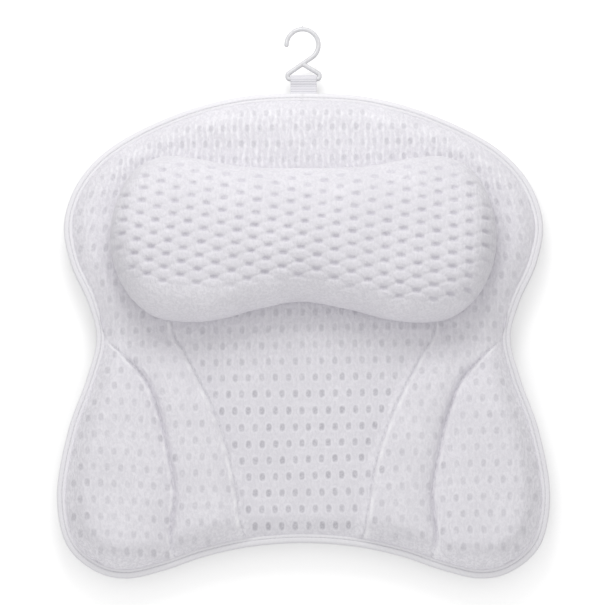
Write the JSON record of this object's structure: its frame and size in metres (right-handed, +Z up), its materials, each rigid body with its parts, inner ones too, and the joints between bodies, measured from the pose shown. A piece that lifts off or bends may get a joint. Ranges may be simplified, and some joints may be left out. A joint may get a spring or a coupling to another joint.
{
  "type": "bath pillow",
  "caption": "Butterfly-shaped air-mesh bath pillow with foam wings, a bone-shaped neck pillow, suction cups and a hanging hook.",
  "frame": {"origin": "on the surface that the suction cups stand on, under the middle of the whole object's bounding box", "axes": "+Z up out of the padded face, +Y towards the neck end and the hook, +X to the right as seen from the padded face"},
  "size_m": [0.4294, 0.493, 0.0967],
  "materials": {
    "air_mesh": "white knitted air mesh with rows of oval holes",
    "pillow_mesh": "white knitted air mesh with puffy diamonds and dimples",
    "spacer_mesh": "open spacer mesh",
    "binding_tape": "soft woven binding tape",
    "foam": "open-cell foam",
    "webbing": "ribbed polyester webbing",
    "hook_plastic": "smooth moulded white plastic",
    "cup_rubber": "clear soft vinyl"
  },
  "bodies": {
    "pad": {"back_panel": "air_mesh", "spacer_core": "spacer_mesh", "front_panel": "air_mesh", "edge_binding": "binding_tape", "left_outer_foam": "foam", "left_inner_foam": "foam", "right_inner_foam": "foam", "right_outer_foam": "foam", "neck_pillow_base": "air_mesh", "neck_pillow_filling": "foam", "neck_pillow_cover": "pillow_mesh", "hanging_loop": "webbing", "cup_tab_upper_left": "webbing", "cup_tab_upper_right": "webbing", "cup_tab_middle_left": "webbing", "cup_tab_middle_right": "webbing", "cup_tab_lower_left": "webbing", "cup_tab_lower_right": "webbing"},
    "hook": {"hanging_hook": "hook_plastic"},
    "cup_upper_left": {"suction_cup_upper_left": "cup_rubber"},
    "cup_upper_right": {"suction_cup_upper_right": "cup_rubber"},
    "cup_middle_left": {"suction_cup_middle_left": "cup_rubber"},
    "cup_middle_right": {"suction_cup_middle_right": "cup_rubber"},
    "cup_lower_left": {"suction_cup_lower_left": "cup_rubber"},
    "cup_lower_right": {"suction_cup_lower_right": "cup_rubber"}
  },
  "joints": [
    {"name": "hook_swing", "type": "hinge", "parent": "pad", "child": "hook", "pos_m": [0, 0.1982, 0.0153], "axis": [1, 0, 0], "range_deg": [-120, 120]},
    {"name": "cup_turn_upper_left", "type": "hinge", "parent": "pad", "child": "cup_upper_left", "pos_m": [-0.09675, 0.1061, 0], "axis": [0, 0, 1], "continuous": true},
    {"name": "cup_turn_upper_right", "type": "hinge", "parent": "pad", "child": "cup_upper_right", "pos_m": [0.09675, 0.1061, 0], "axis": [0, 0, 1], "continuous": true},
    {"name": "cup_turn_middle_left", "type": "hinge", "parent": "pad", "child": "cup_middle_left", "pos_m": [-0.1118, -0.0444, 0], "axis": [0, 0, 1], "continuous": true},
    {"name": "cup_turn_middle_right", "type": "hinge", "parent": "pad", "child": "cup_middle_right", "pos_m": [0.1118, -0.0444, 0], "axis": [0, 0, 1], "continuous": true},
    {"name": "cup_turn_lower_left", "type": "hinge", "parent": "pad", "child": "cup_lower_left", "pos_m": [-0.1333, -0.182, 0], "axis": [0, 0, 1], "continuous": true},
    {"name": "cup_turn_lower_right", "type": "hinge", "parent": "pad", "child": "cup_lower_right", "pos_m": [0.1333, -0.182, 0], "axis": [0, 0, 1], "continuous": true}
  ]
}
